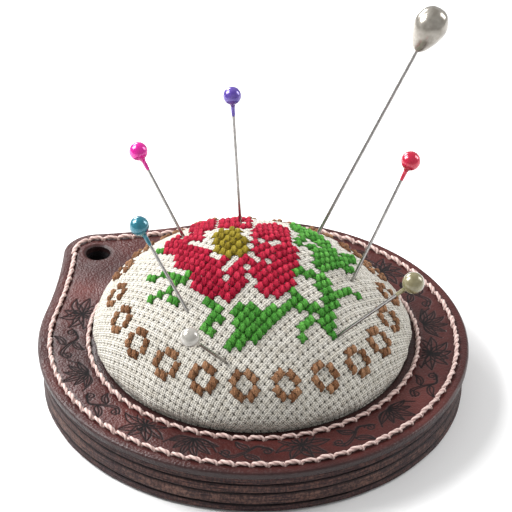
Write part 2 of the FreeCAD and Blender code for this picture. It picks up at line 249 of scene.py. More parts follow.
class Surface:
    """A Principled material, with short calls to add nodes."""

    def __init__(self, name, **sockets):
        self.material = bpy.data.materials.new(name)
        self.material.use_nodes = True
        self.tree = self.material.node_tree
        self.shader = self.tree.nodes["Principled BSDF"]
        for key, value in sockets.items():
            self.shader.inputs[key.replace("_", " ")].default_value = value
        self.place = self.add("TexCoord").outputs["Object"]

    def add(self, kind, inputs=None, **settings):
        node = self.tree.nodes.new("ShaderNode" + kind)
        for key, value in settings.items():
            setattr(node, key, value)
        for key, value in (inputs or {}).items():
            if isinstance(value, bpy.types.NodeSocket):
                self.tree.links.new(value, node.inputs[key])
            else:
                node.inputs[key].default_value = value
        return node

    def noise(self, size, detail=4.0, stretch=None):
        """Noise whose features are about that many millimetres across."""
        place = self.place
        if stretch:
            place = self.add("Mapping", {"Vector": place, "Scale": stretch}).outputs[0]
        inputs = {"Vector": place, "Scale": 1 / (size * MM), "Detail": detail}
        return self.add("TexNoise", inputs).outputs["Fac"]

    def cells(self, size):
        inputs = {"Vector": self.place, "Scale": 1 / (size * MM)}
        return self.add("TexVoronoi", inputs).outputs["Distance"]

    def attribute(self, name):
        return self.add("Attribute", attribute_name=name).outputs["Fac"]

    def math(self, operation, first, second=0.0, third=0.0):
        return self.add("Math", {0: first, 1: second, 2: third}, operation=operation).outputs[0]

    def ramp(self, factor, stops):
        ramp = self.add("ValToRGB", {"Fac": factor})
        elements = ramp.color_ramp.elements
        while len(elements) < len(stops):
            elements.new(0.5)
        for element, (position, colour) in zip(elements, stops):
            element.position = position
            element.color = colour if hasattr(colour, "__len__") else (colour,) * 3 + (1,)
        return ramp.outputs["Color"]

    def mix(self, factor, first, second, blend="MIX"):
        inputs = {0: factor, 6: first, 7: second}
        return self.add("Mix", inputs, data_type="RGBA", blend_type=blend).outputs[2]

    def link(self, output, socket):
        self.tree.links.new(output, self.shader.inputs[socket])

    def bump(self, height, depth, strength=1.0):
        """Adds bumps of that depth in millimetres to the ones already there."""
        inputs = {"Height": height, "Distance": depth * MM, "Strength": strength}
        previous = self.shader.inputs["Normal"]
        if previous.is_linked:
            inputs["Normal"] = previous.links[0].from_socket
        self.link(self.add("Bump", inputs).outputs["Normal"], "Normal")


def tooled_leather():
    skin = Surface("tooled_leather", Roughness=0.4, Specular_IOR_Level=0.35)
    patches = skin.noise(14, 5)
    tones = [(0.3, rgb(56, 20, 19)), (0.55, rgb(80, 33, 30)), (0.75, rgb(104, 50, 45))]
    colour = skin.ramp(patches, tones)
    grain = skin.noise(0.9, 3)
    colour = skin.mix(0.35, colour, skin.ramp(grain, [(0.35, 0.03), (0.7, 0.16)]), "SOFT_LIGHT")
    colour = skin.mix(skin.attribute("edge"), colour, rgb(40, 24, 24))
    colour = skin.mix(skin.attribute("tooling"), colour, rgb(6, 3, 5))
    skin.link(colour, "Base Color")
    gloss = skin.ramp(skin.noise(2.2, 4), [(0.3, 0.3), (0.7, 0.46)])
    gloss = skin.mix(skin.attribute("tooling"), gloss, (0.95, 0.95, 0.95, 1.0))
    skin.link(gloss, "Roughness")
    skin.bump(skin.cells(0.5), 0.09, 0.9)
    skin.bump(skin.noise(1.8, 5), 0.14, 0.9)
    skin.bump(skin.noise(0.22, 2), 0.04, 0.8)
    return skin.material


def layered_leather(name, dark, light, drift_size):
    """The burnished cut edge of a layer, streaked along its length."""
    skin = Surface(name, Roughness=0.62, Specular_IOR_Level=0.3)
    streaks = skin.noise(2.0, 8, (0.3, 0.3, 4.5))
    fibres = skin.noise(0.6, 5, (0.16, 0.16, 3.0))
    drift = skin.noise(drift_size, 3)
    grit = skin.noise(0.45, 4, (1.0, 1.0, 0.6))
    colour = skin.ramp(streaks, [(0.36, dark), (0.52, light), (0.64, dark)])
    colour = skin.mix(skin.ramp(drift, [(0.38, 0.0), (0.62, 0.75)]), colour, rgb(46, 27, 33))
    colour = skin.mix(skin.ramp(fibres, [(0.45, 0.0), (0.7, 0.6)]), colour, rgb(112, 86, 76))
    colour = skin.mix(skin.ramp(grit, [(0.42, 0.65), (0.6, 0.0)]), colour, rgb(24, 13, 20))
    colour = skin.mix(skin.attribute("edge"), colour, rgb(18, 10, 14))
    skin.link(colour, "Base Color")
    skin.bump(grit, 0.3, 0.8)
    skin.bump(streaks, 0.5, 0.9)
    skin.bump(fibres, 0.25, 0.9)
    return skin.material


def cord_material():
    skin = Surface("waxed_cord", Roughness=0.55, Sheen_Weight=0.25)
    # Darker in the grooves between the plies and lighter on their crowns: painted shade.
    tones = [(0.0, rgb(130, 98, 94)), (0.45, rgb(205, 176, 168)), (1.0, rgb(226, 202, 194))]
    colour = skin.ramp(skin.attribute("twist"), tones)
    colour = skin.mix(skin.ramp(skin.noise(1.4, 3), [(0.3, 0.0), (0.8, 0.35)]), colour, rgb(186, 150, 140))
    skin.link(colour, "Base Color")
    skin.bump(skin.noise(0.16, 3), 0.05, 0.7)
    return skin.material


def evenweave():
    skin = Surface("evenweave", Roughness=0.85, Sheen_Weight=0.2, Specular_IOR_Level=0.2)
    across, up = skin.attribute("across"), skin.attribute("up")
    wobble = skin.math("MULTIPLY", skin.noise(1.6, 3), 2.2)
    threads_per_cell = 3
    turns = threads_per_cell * TAU
    warp = skin.math("SINE", skin.math("MULTIPLY_ADD", across, turns, wobble))
    weft = skin.math("SINE", skin.math("MULTIPLY_ADD", up, turns, wobble))
    over = skin.math("MAXIMUM", warp, weft)
    tones = [(0.25, rgb(202, 194, 178)), (0.5, rgb(228, 223, 211)), (0.8, rgb(242, 238, 229))]
    colour = skin.ramp(skin.noise(1.1, 4), tones)
    shade = skin.ramp(skin.math("MULTIPLY_ADD", over, 0.5, 0.5), [(0.0, 0.25), (0.55, 1.0)])
    colour = skin.mix(0.65, colour, shade, "MULTIPLY")
    # Painted shade in the holes and grooves of the weave.
    colour = skin.mix(skin.attribute("hole"), colour, rgb(70, 62, 52))
    skin.link(colour, "Base Color")
    skin.bump(over, 0.16, 1.0)
    skin.bump(skin.noise(0.22, 3), 0.06, 0.6)
    return skin.material


def thread(name, dark, middle, light):
    """Stranded cotton: fine strands along each leg, every stitch a little different."""
    skin = Surface(name, Roughness=0.75, Specular_IOR_Level=0.15)
    # Stripes along the strands, lighter on each strand and darker between them: painted shade, over each
    # stitch's own tone.
    strands = skin.math("SINE", skin.math("MULTIPLY", skin.attribute("round"), 11 * TAU))
    tone = skin.math("MULTIPLY_ADD", strands, 0.24, skin.attribute("tone"))
    colour = skin.ramp(tone, [(0.0, dark), (0.5, middle), (1.0, light)])
    # Darker where a leg dives into its holes: painted shade.
    colour = skin.mix(skin.attribute("sunk_shade"), colour, dark)
    skin.link(colour, "Base Color")
    skin.bump(strands, 0.18, 1.0)
    skin.bump(skin.noise(0.25, 3), 0.08, 0.8)
    return skin.material


def lacquer(name, colour, glow, metallic=0.25, rough=0.2):
    """Pearly lacquer with faint lighter clouds, under a clear coat."""
    sockets = dict(Metallic=metallic, Roughness=rough, Coat_Weight=0.8, Coat_Roughness=0.06)
    skin = Surface(name, **sockets)
    clouds = skin.ramp(skin.noise(1.3, 3), [(0.35, 0.0), (0.7, 0.3)])
    skin.link(skin.mix(clouds, colour, glow), "Base Color")
    skin.bump(skin.noise(0.5, 2), 0.02, 0.25)
    return skin.material


def pin_steel():
    skin = Surface("pin_steel", Metallic=1.0, Roughness=0.24)
    marks = skin.noise(0.9, 5)
    skin.link(skin.ramp(marks, [(0.3, rgb(146, 143, 141)), (0.7, rgb(172, 169, 166))]), "Base Color")
    skin.bump(skin.noise(0.12, 2), 0.01, 0.4)
    return skin.material


def plain_fibre(name, dark, light, size, rough):
    skin = Surface(name, Roughness=rough)
    fibres = skin.noise(size, 6)
    skin.link(skin.ramp(fibres, [(0.3, dark), (0.7, light)]), "Base Color")
    skin.bump(fibres, 0.2, 0.6)
    return skin.material


steel = pin_steel()
edge_materials = {
    "bottom_leather": layered_leather("base_leather", rgb(40, 20, 25), rgb(98, 64, 58), 12),
    "lower_spacer": layered_leather("lower_edge", rgb(46, 26, 31), rgb(122, 88, 76), 15),
    "middle_spacer": layered_leather("middle_edge", rgb(42, 20, 23), rgb(108, 72, 62), 13),
    "upper_spacer": layered_leather("upper_edge", rgb(38, 17, 19), rgb(88, 52, 46), 16),
}
threads = {
    "red": thread("red_thread", rgb(104, 0, 24), rgb(238, 28, 74), rgb(252, 84, 110)),
    "green": thread("green_thread", rgb(16, 78, 20), rgb(92, 188, 66), rgb(146, 226, 112)),
    "gold": thread("gold_thread", rgb(88, 72, 8), rgb(178, 156, 36), rgb(214, 196, 82)),
    "brown": thread("brown_thread", rgb(78, 46, 28), rgb(178, 124, 86), rgb(218, 174, 136)),
}
heads = {
    "violet": lacquer("violet_head", rgb(76, 50, 150), rgb(150, 128, 204)),
    "magenta": lacquer("magenta_head", rgb(206, 0, 140), rgb(228, 40, 176)),
    "teal": lacquer("teal_head", rgb(0, 98, 116), rgb(70, 160, 178)),
    "white": lacquer("white_head", rgb(156, 152, 144), rgb(210, 207, 200), 0.2),
    "crimson": lacquer("crimson_head", rgb(186, 0, 50), rgb(208, 20, 78)),
    "pearl": lacquer("pearl_head", rgb(116, 108, 74), rgb(184, 178, 146), 0.15, 0.26),
    "drop": lacquer("drop_head", rgb(134, 128, 118), rgb(208, 203, 194), 0.6, 0.24),
}


# Outline of the disc with its tab: four tangent arcs, as in part.py
def outline_arcs():
    to_disc = disc_radius + tab_neck_radius
    to_tab = tab_radius + tab_neck_radius
    y = (to_disc**2 - to_tab**2 + tab_hole_distance**2) / (2 * tab_hole_distance)
    x = math.sqrt(to_disc**2 - y**2)
    disc_end = math.atan2(y, x)
    tab_end = math.atan2(y - tab_hole_distance, x)
    sweep = disc_end - tab_end
    return [
        (0, 0, disc_radius, math.pi - disc_end, math.pi + 2 * disc_end, -1),
        (x, y, tab_neck_radius, disc_end + math.pi, -sweep, 1),
        (0, tab_hole_distance, tab_radius, tab_end, math.pi - 2 * tab_end, -1),
        (-x, y, tab_neck_radius, -tab_end, -sweep, 1),
    ]


def outline_stations(spacing):
    """Rows of (centre x, centre y, radius, angle, way an inset changes the radius)."""
    rows = []
    for x, y, radius, start, sweep, inward in outline_arcs():
        count = round(abs(radius * sweep) / spacing)
        for step in range(count):
            rows.append((x, y, radius, start + sweep * step / count, inward))
    return np.array(rows)


def outline_at(stations, inset):
    reach = stations[:, 2] + stations[:, 4] * inset
    x = stations[:, 0] + reach * np.cos(stations[:, 3])
    y = stations[:, 1] + reach * np.sin(stations[:, 3])
    return np.stack([x, y], axis=1)


def seam_stations(inset, phase):
    """Evenly spaced (x, y, heading) along the outline at that inset."""
    arcs = [(x, y, r + way * inset, start, sweep) for x, y, r, start, sweep, way in outline_arcs()]
    lengths = [abs(arc[2] * arc[4]) for arc in arcs]
    count = round(sum(lengths) / stitch_pitch)
    stations = []
    for index in range(count):
        along = (index + phase) * sum(lengths) / count
        for arc, length in zip(arcs, lengths):
            if along <= length:
                break
            along -= length
        angle = arc[3] + arc[4] * along / length
        heading = angle + (math.pi / 2 if arc[4] > 0 else -math.pi / 2)
        x, y = arc[0] + arc[2] * math.cos(angle), arc[1] + arc[2] * math.sin(angle)
        stations.append((x, y, heading))
    return stations


def ring_stations(radius, phase):
    count = round(TAU * radius / stitch_pitch)
    angles = [TAU * (index + phase) / count for index in range(count)]
    return [(radius * math.cos(a), radius * math.sin(a), a + math.pi / 2) for a in angles]


def with_height(flat, z):
    heights = np.broadcast_to(np.asarray(z, float), (len(flat),))
    return np.column_stack([flat, heights])


class Loops:
    """Loops of points round a leather layer, each with its share of dark burnish."""

    def __init__(self):
        self.points = []
        self.edge = []

    def add(self, flat, z, dark=0.0):
        self.points.append(with_height(flat, z))
        self.edge.append(np.full(len(flat), dark))


def closed_ring(name, loops, capped):
    """A closed piece from its loops: joined end to end, or capped where it has no opening."""
    rows, columns = len(loops.points), len(loops.points[0])
    if capped:
        faces = capped_faces(rows, columns)
    else:
        faces = loop_quads(rows, columns).tolist()
        last = (rows - 1) * columns
        for column in range(columns):
            following = (column + 1) % columns
            faces.append([last + column, last + following, following, column])
    edge = {"edge": np.concatenate(loops.edge)}
    piece = mesh_object(name, np.concatenate(loops.points), faces, edge)
    fix = bmesh.new()
    fix.from_mesh(piece.data)
    bmesh.ops.recalc_face_normals(fix, faces=fix.faces)
    fix.to_mesh(piece.data)
    fix.free()
    return piece


def punch(piece, sides=64):
    """Cuts the hang hole through a layer and darkens its walls with painted shade."""
    bpy.ops.mesh.primitive_cylinder_add(vertices=sides, radius=tab_hole_radius * MM, depth=0.05)
    cutter = bpy.context.active_object
    cutter.location = (0, tab_hole_distance * MM, 0)
    bpy.context.view_layer.update()
    cut = piece.modifiers.new("hole", "BOOLEAN")
    cut.object = cutter
    cut.operation = "DIFFERENCE"
    cut.solver = "EXACT"
    bpy.context.view_layer.objects.active = piece
    bpy.ops.object.modifier_apply(modifier=cut.name)
    bpy.data.objects.remove(cutter)
    # The hole's walls get the full dark share: painted shade inside the hang hole.
    edge = piece.data.attributes["edge"].data
    for vertex in piece.data.vertices:
        x, y, _ = vertex.co / MM
        if math.hypot(x, y - tab_hole_distance) < tab_hole_radius + 0.02:
            edge[vertex.index].value = 1.0


# Down a layer's edge: share of its thickness, how far it is set in, and its burnish
edge_profile = [
    (1.0, 0.5, 1.0), (0.96, 0.28, 1.0), (0.9, 0.1, 0.6), (0.8, 0.02, 0.0), (0.62, 0.0, 0.0),
    (0.45, 0.03, 0.1), (0.3, 0.0, 0.0), (0.16, 0.04, 0.2), (0.07, 0.2, 0.8), (0.0, 0.5, 1.0),
]
joint_reach = 1.2  # how far in the dark joint between two layers goes
# Across the groove for the outer seam in the underside: inset from the outline, and depth
groove_profile = [(1.75, 0.0), (1.9, 0.7), (2.5, 0.95), (3.1, 0.7), (3.25, 0.0)]


def make_layer(seed, name, bottom, thickness, opening):
    """A layer below the top one: soft corners, an uneven burnished edge and dark joints."""
    stations = outline_stations(0.9)
    rim = outline_at(stations, side_inset)
    angle = np.arctan2(rim[:, 1], rim[:, 0])
    inner = opening_radius * np.column_stack([np.cos(angle), np.sin(angle)])
    if not opening:
        inner = rim * 0.02
    loops = Loops()
    shares = (0.0, 0.35, 0.7)
    top = bottom + thickness
    joint = outline_at(stations, side_inset + joint_reach)
    for share in shares:
        loops.add(inner + (rim - inner) * share, top)
    loops.add(joint, top, 0.6)
    for share, inset, dark in edge_profile:
        swing = smooth_wave(angle, 10 * seed + int(10 * share), (3, 7, 13, 22, 41), 0.07)
        depth = side_inset + inset + 0.08 + swing
        loops.add(outline_at(stations, depth), bottom + share * thickness, dark)
    if opening:
        loops.add(joint, bottom, 0.5)
    else:
        for inset, depth in groove_profile:
            loops.add(outline_at(stations, inset), depth, 0.3 + 0.6 * depth)
    for share in reversed(shares):
        loops.add(inner + (rim - inner) * share, bottom)
    piece = closed_ring(name + "_detailed", loops, not opening)
    punch(piece)
    finish_piece(piece, edge_materials[name], [name])


# Tooled pattern. A motif is a list of lines, each a list of (along, out) points in millimetres
# around its own middle, drawn on a flat strip and then bent round the disc.
def bend(points, steps=14):
    """A smooth line through the points."""
    points = [np.array(point, float) for point in points]
    line = []
    for index in range(len(points) - 1):
        before = points[max(index - 1, 0)]
        start, end = points[index], points[index + 1]
        after = points[min(index + 2, len(points) - 1)]
        for step in range(steps):
            t = step / steps
            first = 2 * start + (end - before) * t
            second = (2 * before - 5 * start + 4 * end - after) * t * t
            third = (3 * start - before - 3 * end + after) * t**3
            line.append((first + second + third) / 2)
    line.append(points[-1])
    return np.array(line)


def turned(lines, angle, at=(0, 0), size=1.0):
    """The lines turned by that angle in degrees, scaled, and moved to that place."""
    c, s = math.cos(math.radians(angle)) * size, math.sin(math.radians(angle)) * size
    result = []
    for line in lines:
        along, out = line[:, 0], line[:, 1]
        result.append(np.column_stack([along * c - out * s, along * s + out * c]) + at)
    return result


def leaf(length, width, veins=3, curl=0.25):
    """A pointed leaf from its stalk at 0, 0 along +X, curling to one side."""
    tip = (length, curl * length)
    lines = [
        bend([(0, 0), (0.25 * length, 0.75 * width), (0.65 * length, 0.8 * width), tip]),
        bend([(0, 0), (0.35 * length, -0.5 * width), (0.75 * length, -0.15 * width), tip]),
        bend([(0.1 * length, 0), (0.5 * length, 0.1 * width), (0.86 * length, 0.72 * tip[1])]),
    ]
    for index in range(veins):
        x = (0.25 + 0.17 * index) * length
        lines.append(bend([(x, 0.06 * width), (x + 0.12 * length, 0.5 * width)], 6))
        lines.append(bend([(x, 0.0), (x + 0.13 * length, -0.2 * width)], 6))
    return lines


def spiral(radius, turns, start=0.0):
    steps = 40
    angle = np.linspace(0, turns * TAU, steps) + start
    reach = radius * (1 - np.linspace(0, 0.85, steps))
    return np.column_stack([reach * np.cos(angle), reach * np.sin(angle)])


def flower(petals, reach, source):
    """Pointed petals round a small ring, wider along the strip than across it."""
    lines = [spiral(0.45, 1.3), spiral(0.75, 1.05)]
    for index in range(petals):
        angle = 360 * index / petals + source.uniform(-6, 6)
        length = reach * (1.1 + 0.65 * abs(math.cos(math.radians(angle))))
        petal = leaf(length, reach * 0.44, 0, source.uniform(-0.08, 0.12))
        lines += turned(petal, angle, (0, -1.4))
    return lines


def scroll(reach):
    """A doubled S-shaped stem that rolls up at both ends, with a leaf on each side."""
    shares = [(-1, 0.6), (-0.6, 1.9), (-0.1, 0.4), (0.4, -1.7), (1, -0.4)]
    stem = [(share * reach, out) for share, out in shares]
    lines = [bend(stem), bend([(0.94 * x, y * 0.86 - 0.45) for x, y in stem])]
    lines.append(spiral(1.15, 1.5, 0.6) + (-0.74 * reach, 0.5))
    lines.append(spiral(1.15, 1.5, 3.7) + (0.74 * reach, -0.4))
    lines += turned(leaf(3.6, 1.0, 0, 0.3), 20, (-0.1 * reach, 0.7))
    lines += turned(leaf(3.6, 1.0, 0, 0.3), 200, (0.1 * reach, -0.9))
    return lines


def spray(source):
    """Leaves fanning out of one stalk."""
    lines = [bend([(-5.2, 0.6), (-3.0, -1.9), (0.2, -2.2), (3.2, -1.9), (5.2, 1.0)])]
    for angle in (160, 132, 104, 76, 48, 20):
        size = source.uniform(0.95, 1.2)
        lines += turned(leaf(4.6, 1.0, 0, 0.15), angle, (0.2, -2.2), size)
    return lines


def tooling_points():
    """Closely spaced points along every tooled line, on the band that stops short of the tab."""
    source = random.Random(31)
    kinds = ["flower", "scroll", "spray", "curls", "flower", "spray", "scroll"]
    middle, band_half = 37.6, 3.0
    count, spacing = 19, 0.06
    first_bearing, swept = 112, 316
    points = []
    for index in range(count):
        bearing = first_bearing + swept * (index + 0.5) / count
        kind = kinds[index % len(kinds)]
        if kind == "flower":
            lines = flower(source.choice((9, 10, 11)), 3.3, source)
        elif kind == "scroll":
            lines = scroll(5.2)
        elif kind == "spray":
            lines = spray(source)
        else:
            lines = turned(scroll(4.6), 180)
        flip = source.choice((1, -1))
        for line in lines:
            steps = np.hypot(*np.diff(line, axis=0).T)
            run = np.concatenate([[0], np.cumsum(steps)])
            stops = np.arange(0, run[-1], spacing)
            along = np.interp(stops, run, line[:, 0]) * flip
            out = np.interp(stops, run, line[:, 1])
            kept = np.abs(out) < band_half
            angle = math.radians(bearing) + along[kept] / middle
            radius = middle + out[kept]
            points.append(np.column_stack([radius * np.cos(angle), radius * np.sin(angle)]))
    return np.concatenate(points)


def distances(flat, targets, where):
    """How far each point of a flat array is from the nearest target, where asked, else far."""
    tree = kdtree.KDTree(len(targets))
    for index, (x, y) in enumerate(targets):
        tree.insert((x, y, 0), index)
    tree.balance()
    result = np.full(len(flat), 99.0)
    for index in np.nonzero(where)[0]:
        result[index] = tree.find((flat[index, 0], flat[index, 1], 0))[2]
    return result


def make_top_leather():
    """The tooled top layer, from the lip of its opening over the face and down the outer side."""
    stations = outline_stations(0.16)
    rows = 80
    rim = outline_at(stations, 0)
    angle = np.arctan2(rim[:, 1], rim[:, 0])
    around = np.column_stack([np.cos(angle), np.sin(angle)])
    bottom = stack_height - top_thickness
    lip = outline_at(stations, rim_round)
    loops = Loops()
    loops.add(around * opening_radius, bottom, 1.0)
    loops.add(around * opening_radius, stack_height - lip_round, 1.0)
    for turn in (0.3, 0.6, 1.0):
        drop = lip_round * (1 - math.sin(turn * math.pi / 2))
        shift = lip_round * (1 - math.cos(turn * math.pi / 2))
        loops.add(around * (opening_radius + shift), stack_height - drop, 0.9)
    inner = around * (opening_radius + lip_round)
    for row in range(1, rows + 1):
        share = row / rows
        dark = max(0.85 - 5 * share, 0) + max(8 * (share - 0.9), 0) * 0.25
        loops.add(inner + (lip - inner) * share, stack_height, dark)
    for turn in (0.17, 0.34, 0.5, 0.67, 0.84, 1.0):
        reach = rim_round * (1 - math.sin(turn * math.pi / 2))
        drop = rim_round * (1 - math.cos(turn * math.pi / 2))
        loops.add(outline_at(stations, reach + 0.02), stack_height - drop, 0.2 + 0.7 * turn)
    for height, tuck in ((0.35, 0.0), (0.15, 0.0), (0.0, 0.15)):
        swing = smooth_wave(angle, int(100 * height), (5, 11, 23), 0.03)
        loops.add(outline_at(stations, 0.08 + swing + tuck), bottom + height, 1.0)
    piece = closed_ring("top_leather_tooled", loops, False)
    punch(piece, 96)
    press_top(piece)
    finish_piece(piece, tooled_leather(), ["top_leather"])


def press_top(piece):
    """Presses the tooling, seam channels and stitch holes into the face, and darkens them."""
    count = len(piece.data.vertices)
    points = np.empty(count * 3)
    piece.data.vertices.foreach_get("co", points)
    points = points.reshape(-1, 3) / MM
    flat = points[:, :2]
    radius = np.hypot(flat[:, 0], flat[:, 1])
    face = points[:, 2] > stack_height - 0.05
    carved = distances(flat, tooling_points(), face & (radius > 34.2) & (radius < 41.1))
    seam = outline_at(outline_stations(0.2), outer_seam_inset)
    channel = np.abs(radius - inner_seam_radius)
    channel = np.minimum(channel, distances(flat, seam, face & (radius > 39.5)))
    holes = [station[:2] for station in seam_stations(outer_seam_inset, 0.0)]
    holes += [station[:2] for station in ring_stations(inner_seam_radius, 0.0)]
    pricked = distances(flat, holes, face & (channel < 1.2))
    drop = 0.12 * mark(carved, 0.16) + 0.02 * mark(carved, 0.5)
    drop += 0.16 * mark(channel, 0.75) + 0.4 * mark(pricked, 0.42)
    drop += 0.05 * np.sin(radius * 0.9 + 3 * np.arctan2(flat[:, 1], flat[:, 0])) + 0.05
    hang = np.hypot(flat[:, 0], flat[:, 1] - tab_hole_distance) - tab_hole_radius
    drop += 0.35 * mark(hang, 0.35)
    points[:, 2] -= np.where(face, drop, 0)
    piece.data.vertices.foreach_set("co", (points * MM).ravel())
    dark = np.clip(1.15 * mark(carved, 0.17), 0, 1)
    layer = piece.data.attributes.new("tooling", "FLOAT", "POINT")
    layer.data.foreach_set("value", dark.astype(np.float32))
    edge = np.zeros(count, np.float32)
    piece.data.attributes["edge"].data.foreach_get("value", edge)
    # Painted shade in and around the pressed stitch holes.
    edge = np.maximum(edge, 0.8 * mark(pricked, 0.55))
    edge = np.maximum(edge, 0.25 * mark(channel, 0.9) * face)
    # Painted shade round the sunken rim of the hang hole.
    edge = np.maximum(edge, 0.9 * mark(hang, 0.5) * (radius > 40))
    piece.data.attributes["edge"].data.foreach_set("value", edge.astype(np.float32))
    piece.data.update()


# Seams
def seam_tubes(stations, rise, seed, upside=1):
    """The part of each stitch that shows: a two-ply twisted cord arching between its holes."""
    source = random.Random(seed)
    length, around = 22, 14
    cord_radius, plies, ply_relief = 0.37, 2, 0.16
    rings = np.zeros((len(stations), length, around, 3))
    twist = np.zeros((len(stations), length, around))
    share = np.linspace(0, math.pi, length)
    round_angle = np.linspace(0, TAU, around, endpoint=False)
    for index, (x, y, heading) in enumerate(stations):
        size = (1.08 if index % 2 else 0.94) * source.uniform(0.95, 1.05)
        half = stitch_pitch / 2 - 0.12
        along = -half * np.sign(np.cos(share)) * np.abs(np.cos(share)) ** 0.75
        height = (1.0 + 0.4 * size) * np.sin(share) ** 0.5 - 1.0
        slant = (0.16 + source.uniform(-0.05, 0.05)) * np.cos(share)
        run = np.gradient(along), np.gradient(height)
        norm = np.hypot(*run)
        tx, tz = run[0] / norm, run[1] / norm
        phase = source.uniform(0, TAU)
        turn = share * 3.4 + phase
        lobes = np.cos(plies * (round_angle[None, :] - turn[:, None]))
        radius = cord_radius * size * (1 + ply_relief * lobes)
        side = radius * np.cos(round_angle)[None, :]
        lift = radius * np.sin(round_angle)[None, :]
        px = along[:, None] - tz[:, None] * lift
        pz = height[:, None] + tx[:, None] * lift
        py = slant[:, None] + side
        c, s = math.cos(heading), math.sin(heading)
        rings[index, :, :, 0] = x + px * c - py * s
        rings[index, :, :, 1] = y + px * s + py * c
        rings[index, :, :, 2] = rise + upside * pz
        # Share of painted shade across the plies: 1 on their crowns, 0 in the grooves between them.
        twist[index] = 0.5 + 0.5 * lobes
    return rings, twist


def make_seams():
    cord = cord_material()
    outer = seam_stations(outer_seam_inset, 0.5)
    inner = ring_stations(inner_seam_radius, 0.5)
    groups = {
        "outer_stitching": [(outer, stack_height, 5, 1), (outer, groove_rise, 6, -1)],
        "inner_stitching": [(inner, stack_height, 7, 1), (inner, inner_seam_foot, 8, -1)],
    }
    for name, runs in groups.items():
        parts, tones = [], []
        for stations, rise, seed, upside in runs:
            rings, twist = seam_tubes(stations, rise, seed, upside)
            if upside < 0:
                rings[..., 2] = rise + (rings[..., 2] - rise) * hidden_flatness
            parts.append(tubes(rings))
            tones.append(twist.ravel())
        piece = mesh_object(name + "_cord", *joined(parts), {"twist": np.concatenate(tones)})
        finish_piece(piece, cord, [name])


# Dome
def radius_at(height):
    """The dome's radius at a height above the leather, from its widest level up."""
    rise = (height - dome_bulge_height) / (dome_height - dome_bulge_height)
    return dome_radius * (1 - rise**dome_fullness) ** (1 / dome_roundness)


def dome_table():
    """Rows of (distance from the summit along the fabric, radius, height), to below the leather."""
    rows = [(0.0, 0.0, dome_height)]

    def follow(radius, height):
        run = math.hypot(radius - rows[-1][1], height - rows[-1][2])
        rows.append((rows[-1][0] + run, radius, height))

    steps = 400
    span = dome_height - dome_bulge_height
    for step in range(steps - 1, -1, -1):
        height = dome_height - span * math.cos(math.pi / 2 * step / steps) ** 2
        follow(radius_at(height), height)
    for step in range(1, 9):
        share = 1 - step / 8
        swell = (dome_radius - fabric_base_radius) * math.sin(math.pi / 2 * share)
        follow(fabric_base_radius + swell, dome_bulge_height * share)
    follow(fabric_base_radius - 0.1, -1.3)
    return np.array(rows)


dome_distances, dome_radii, dome_heights = dome_table().T
rim_distance = dome_distances[-1]


def dome_frame(across, up):
    """Points on the dome, and the outward normals there, for the fabric's flat coordinates."""
    distance = np.hypot(across, up)
    safe = np.maximum(distance, 1e-9)
    radius = np.interp(distance, dome_distances, dome_radii)
    height = np.interp(distance, dome_distances, dome_heights)
    step = 0.4
    before, after = np.maximum(distance - step, 0), np.minimum(distance + step, rim_distance)
    dr = np.interp(after, dome_distances, dome_radii) - np.interp(before, dome_distances, dome_radii)
    dz = np.interp(after, dome_distances, dome_heights) - np.interp(before, dome_distances, dome_heights)
    length = np.hypot(dr, dz)
    east, north = across / safe, up / safe
    share = np.maximum(height, 0) / dome_height
    x = radius * east + dome_lean[0] * share
    y = radius * north + dome_lean[1] * share
    points = np.stack([x, y, stack_height + height], axis=-1)
    normals = np.stack([-dz / length * east, -dz / length * north, dr / length], axis=-1)
    return points, normals


def dome_grid(first, rings, sides):
    """Angles, and flat coordinates, of rings of points from that share of the way out to the rim."""
    angle = np.linspace(0, TAU, sides, endpoint=False)
    distance = np.linspace(first, 1, rings)[:, None] * rim_distance
    return angle, distance * np.cos(angle), distance * np.sin(angle)


def height_over(x, y):
    """The height of the dome over a point on the ground, by halving."""
    low, high = dome_bulge_height, dome_height
    for _ in range(40):
        middle = (low + high) / 2
        share = middle / dome_height
        if math.hypot(x - dome_lean[0] * share, y - dome_lean[1] * share) < radius_at(middle):
            low = middle
        else:
            high = middle
    return stack_height + low


def polar(radius, bearing):
    angle = math.radians(bearing)
    return radius * math.cos(angle), radius * math.sin(angle)


def pin_axis(name):
    """Where a pin enters the dome, and the way it points."""
    at, (lean, bearing), _, _ = pins[name]
    x, y = polar(*at)
    dx, dy = polar(math.sin(math.radians(lean)), bearing)
    return Vector((x, y, height_over(x, y))), Vector((dx, dy, math.cos(math.radians(lean))))


entries = np.array([pin_axis(name)[0] for name in pins])

# The cover's small give over its filling, by cloth simulation on a coarse polar mesh
sim_rings, sim_sides = 26, 84
sim_first = 0.02  # where its first ring lies, as a share of the way to the rim
sim_steps = 20
set_in = 0.35  # how far inside the dome's profile the cover starts
tight_cap = 0.7


def stuffing_lumps(across, up):
    """How far the filling under the fabric swells or sinks, in millimetres."""
    lumps = 0.16 * np.sin(across * 0.21 + 1.3) * np.sin(up * 0.17 + 0.4)
    lumps += 0.1 * np.sin(across * 0.43 + up * 0.31)
    rim = np.clip((np.hypot(across, up) - 30) / 12, 0, 1)
    angle = np.arctan2(up, across)
    return lumps * (1 - rim) + 0.16 * rim * np.sin(23 * angle) * np.sin(9 * angle + 1)


